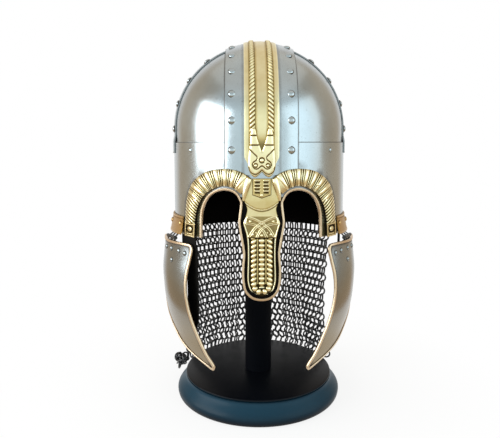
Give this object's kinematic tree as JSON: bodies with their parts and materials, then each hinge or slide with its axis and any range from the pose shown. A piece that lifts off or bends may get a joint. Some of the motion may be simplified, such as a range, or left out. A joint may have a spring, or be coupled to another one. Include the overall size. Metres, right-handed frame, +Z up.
{
  "type": "viking spectacle helmet on a stand",
  "caption": "Riveted steel spectacle helmet with brass crest, brow castings and nasal plate, hinged cheek pieces and a mail neck curtain, lifting off a turned black stand.",
  "frame": {"origin": "centre of the stand's underside, on the surface it stands on", "axes": "+Z up, the face looks along -Y, +X is to the right of somebody facing it"},
  "size_m": [0.2272, 0.2496, 0.4255],
  "materials": {
    "blackwood": "turned wood lacquered satin black",
    "steel": "polished sheet steel",
    "brass": "cast and formed brass with darkened hollows",
    "trim_brass": "rolled brass strip, warmer and plainer than the castings",
    "dark_iron": "blackened iron wire",
    "leather": "black leather"
  },
  "bodies": {
    "stand": {"stand_base": "blackwood", "stand_post": "blackwood", "stand_head": "blackwood"},
    "helmet": {"brow_band": "steel", "nose_to_nape_band": "steel", "side_band_left": "steel", "side_band_right": "steel", "infill_front_left": "steel", "infill_front_right": "steel", "infill_rear_left": "steel", "infill_rear_right": "steel", "brow_casting_left": "brass", "brow_casting_right": "brass", "hinge_upper_leaf_left": "brass", "hinge_upper_leaf_right": "brass", "crest_band": "brass", "crest_head": "brass", "nose_ladder_plate": "brass", "nasal_plate": "brass", "face_binding": "brass", "rim_trim": "trim_brass", "hinge_pin_left": "dark_iron", "hinge_pin_right": "dark_iron", "mail_wire": "dark_iron", "mail_curtain": "dark_iron", "lining_band": "leather", "lining_crown": "leather", "chin_strap_left": "leather", "chin_strap_right": "leather"},
    "cheek_left": {"cheek_plate_left": "steel", "cheek_binding_left": "brass", "hinge_lower_leaf_left": "brass"},
    "cheek_right": {"cheek_plate_right": "steel", "cheek_binding_right": "brass", "hinge_lower_leaf_right": "brass"},
    "strap_loop": {"chin_loop": "dark_iron"}
  },
  "joints": [
    {"name": "helmet_lift", "type": "slide", "parent": "stand", "child": "helmet", "axis": [0, 0, 1], "range_m": [0, 0.4]},
    {"name": "cheek_hinge_left", "type": "hinge", "parent": "helmet", "child": "cheek_left", "pos_m": [-0.09935, -0.04344, 0.20903], "axis": [-0.3907, 0.9149, -0.101], "range_deg": [-3, 110]},
    {"name": "cheek_hinge_right", "type": "hinge", "parent": "helmet", "child": "cheek_right", "pos_m": [0.09935, -0.04344, 0.20903], "axis": [-0.3907, -0.9149, 0.101], "range_deg": [-10, 110]},
    {"name": "loop_swing", "type": "hinge", "parent": "helmet", "child": "strap_loop", "pos_m": [0.09383, -0.01931, 0.18925], "axis": [0.0907, 0.9899, -0.1093], "range_deg": [-22, 55]}
  ]
}
